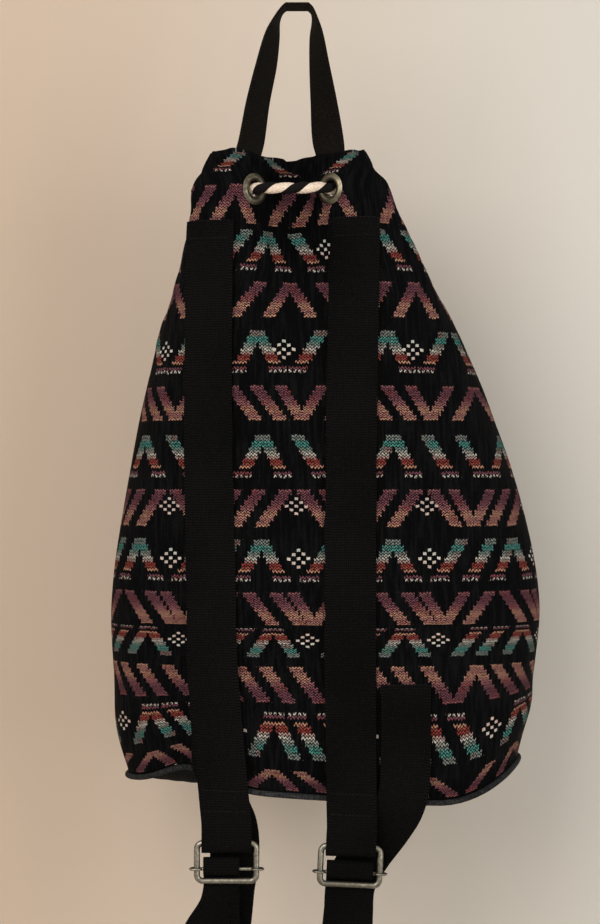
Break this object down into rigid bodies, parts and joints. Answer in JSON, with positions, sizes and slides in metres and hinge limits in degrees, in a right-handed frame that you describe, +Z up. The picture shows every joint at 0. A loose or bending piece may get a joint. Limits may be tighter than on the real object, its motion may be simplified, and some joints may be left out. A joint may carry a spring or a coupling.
{
  "type": "drawstring backpack",
  "caption": "Soft drawstring backpack of patterned woven cloth with a rope neck, webbing shoulder straps, wire sliders and a haul loop, hanging by the loop.",
  "frame": {"origin": "inner top of the haul loop, where a hook carries the bag", "axes": "+Z up along the hanging bag, -Y towards the wearer's back (the strap side), +X to the right as seen from the strap side"},
  "size_m": [0.3336, 0.1633, 0.744],
  "materials": {
    "woven_cloth": "black ground with bands of slanting stepped marks in teal, grey, rose, peach and white weft",
    "base_cloth": "matt woven black",
    "piping": "satin black",
    "dark_brass": "darkened satin metal",
    "rope_fibre": "twisted rope of cream and black strands",
    "loop_webbing": "matt black ribbed webbing",
    "strap_webbing": "matt black close-woven webbing",
    "gunmetal": "dark satin plated wire"
  },
  "bodies": {
    "bag": {"base_panel": "base_cloth", "base_piping": "piping", "drawstring": "rope_fibre", "eyelet_1": "dark_brass", "eyelet_2": "dark_brass", "eyelet_3": "dark_brass", "eyelet_4": "dark_brass", "eyelet_5": "dark_brass", "eyelet_6": "dark_brass", "eyelet_7": "dark_brass", "eyelet_8": "dark_brass", "eyelet_washer_1": "dark_brass", "eyelet_washer_2": "dark_brass", "eyelet_washer_3": "dark_brass", "eyelet_washer_4": "dark_brass", "eyelet_washer_5": "dark_brass", "eyelet_washer_6": "dark_brass", "eyelet_washer_7": "dark_brass", "eyelet_washer_8": "dark_brass", "haul_loop": "loop_webbing", "left_lower_strap": "strap_webbing", "left_rope_knot": "rope_fibre", "left_shoulder_strap": "strap_webbing", "left_slider_frame": "gunmetal", "outer_shell": "woven_cloth", "right_lower_strap": "strap_webbing", "right_rope_knot": "rope_fibre", "right_shoulder_strap": "strap_webbing", "right_slider_frame": "gunmetal"},
    "left_bar": {"left_slider_bar": "gunmetal"},
    "right_bar": {"right_slider_bar": "gunmetal"}
  },
  "joints": [
    {"name": "left_bar_slide", "type": "slide", "parent": "bag", "child": "left_bar", "axis": [0, 0, 1], "range_m": [-0.001, 0.0045]},
    {"name": "right_bar_slide", "type": "slide", "parent": "bag", "child": "right_bar", "axis": [0.0436, 0, 0.999], "range_m": [-0.001, 0.0045]}
  ]
}
